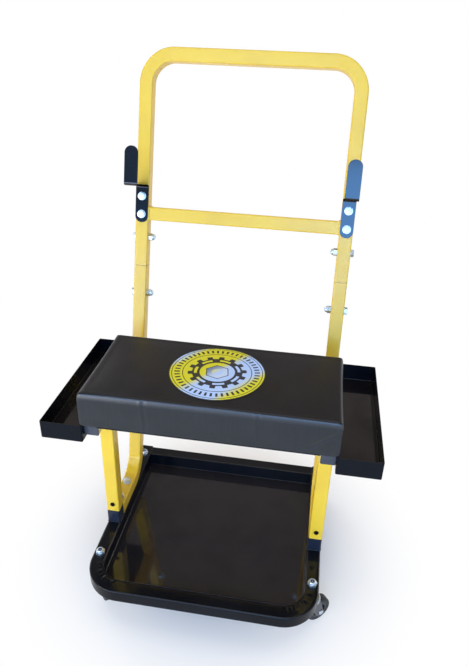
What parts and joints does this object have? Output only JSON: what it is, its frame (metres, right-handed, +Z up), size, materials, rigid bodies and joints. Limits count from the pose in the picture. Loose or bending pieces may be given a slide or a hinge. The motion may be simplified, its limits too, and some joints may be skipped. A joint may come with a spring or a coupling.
{
  "type": "creeper seat",
  "caption": "Rolling low work seat with a padded top, trays at the sides and below, swivel casters and a leaning push handle with hooks.",
  "frame": {"origin": "on the floor under the middle of the whole object's box", "axes": "+X to the sitter's left side as seen from the front, +Y to the back, +Z up"},
  "size_m": [0.5672, 0.5325, 0.9354],
  "materials": {
    "yellow_paint": "glossy yellow powder coat on steel tube",
    "black_paint": "semi-gloss black powder coat",
    "tray_paint": "glossy black enamel on sheet steel",
    "cap_plastic": "black moulded plastic",
    "bare_steel": "bare steel tube, hidden inside the joints",
    "zinc_bolts": "bright zinc plate",
    "black_screw": "black oxide",
    "seat_board": "plywood",
    "seat_vinyl": "black grained vinyl over foam",
    "caster_zinc": "zinc plated pressed steel",
    "fork_paint": "black painted pressed steel",
    "hub_plastic": "dark grey moulded plastic",
    "tyre": "black rubber"
  },
  "bodies": {
    "frame": {"rear_post_left": "yellow_paint", "rear_post_right": "yellow_paint", "front_leg_left": "yellow_paint", "front_leg_right": "yellow_paint", "handle_hoop": "yellow_paint", "handle_cross_bar": "yellow_paint", "seat_rail_left": "yellow_paint", "seat_rail_right": "yellow_paint", "seat_cross_tube_front": "yellow_paint", "seat_cross_tube_rear": "yellow_paint", "base_frame": "black_paint", "rear_cross_tube": "black_paint", "leg_socket_left": "black_paint", "leg_socket_right": "black_paint", "hook_left": "black_paint", "hook_right": "black_paint", "bottom_tray": "tray_paint", "side_tray_left": "tray_paint", "side_tray_right": "tray_paint", "base_end_caps": "cap_plastic", "seat_rail_caps": "cap_plastic", "leg_spigot_left": "bare_steel", "leg_spigot_right": "bare_steel", "splice_sleeve_left": "bare_steel", "splice_sleeve_right": "bare_steel", "foot_bolts": "zinc_bolts", "foot_nuts": "zinc_bolts", "splice_bolts": "zinc_bolts", "splice_nuts": "zinc_bolts", "hook_bolts": "zinc_bolts", "hook_nuts": "zinc_bolts", "seat_bolts": "zinc_bolts", "seat_tee_nuts": "zinc_bolts", "side_tray_bolts": "zinc_bolts", "side_tray_nuts": "zinc_bolts", "caster_nuts": "zinc_bolts", "leg_screws": "black_screw", "seat_board": "seat_board", "seat_cushion": "seat_vinyl", "caster_stem_front_left": "caster_zinc", "caster_stem_front_right": "caster_zinc", "caster_stem_rear_left": "caster_zinc", "caster_stem_rear_right": "caster_zinc"},
    "swivel_front_left": {"caster_fork_front_left": "fork_paint", "caster_axle_front_left": "caster_zinc"},
    "wheel_front_left": {"caster_hub_front_left": "hub_plastic", "caster_tyre_front_left": "tyre"},
    "swivel_front_right": {"caster_fork_front_right": "fork_paint", "caster_axle_front_right": "caster_zinc"},
    "wheel_front_right": {"caster_hub_front_right": "hub_plastic", "caster_tyre_front_right": "tyre"},
    "swivel_rear_left": {"caster_fork_rear_left": "fork_paint", "caster_axle_rear_left": "caster_zinc"},
    "wheel_rear_left": {"caster_hub_rear_left": "hub_plastic", "caster_tyre_rear_left": "tyre"},
    "swivel_rear_right": {"caster_fork_rear_right": "fork_paint", "caster_axle_rear_right": "caster_zinc"},
    "wheel_rear_right": {"caster_hub_rear_right": "hub_plastic", "caster_tyre_rear_right": "tyre"}
  },
  "joints": [
    {"name": "swivel_front_left_turn", "type": "hinge", "parent": "frame", "child": "swivel_front_left", "pos_m": [-0.1975, -0.18825, 0.058], "axis": [0, 0, 1], "continuous": true},
    {"name": "wheel_front_left_spin", "type": "hinge", "parent": "swivel_front_left", "child": "wheel_front_left", "pos_m": [-0.18718, -0.203, 0.025], "axis": [0.8192, 0.5736, 0], "continuous": true},
    {"name": "swivel_front_right_turn", "type": "hinge", "parent": "frame", "child": "swivel_front_right", "pos_m": [0.1975, -0.18825, 0.058], "axis": [0, 0, 1], "continuous": true},
    {"name": "wheel_front_right_spin", "type": "hinge", "parent": "swivel_front_right", "child": "wheel_front_right", "pos_m": [0.21129, -0.17668, 0.025], "axis": [-0.6428, 0.766, 0], "continuous": true},
    {"name": "swivel_rear_left_turn", "type": "hinge", "parent": "frame", "child": "swivel_rear_left", "pos_m": [-0.1975, 0.10075, 0.058], "axis": [0, 0, 1], "continuous": true},
    {"name": "wheel_rear_left_spin", "type": "hinge", "parent": "swivel_rear_left", "child": "wheel_rear_left", "pos_m": [-0.20216, 0.11814, 0.025], "axis": [-0.9659, -0.2588, 0], "continuous": true},
    {"name": "swivel_rear_right_turn", "type": "hinge", "parent": "frame", "child": "swivel_rear_right", "pos_m": [0.1975, 0.10075, 0.058], "axis": [0, 0, 1], "continuous": true},
    {"name": "wheel_rear_right_spin", "type": "hinge", "parent": "swivel_rear_right", "child": "wheel_rear_right", "pos_m": [0.20216, 0.11814, 0.025], "axis": [-0.9659, 0.2588, 0], "continuous": true}
  ]
}
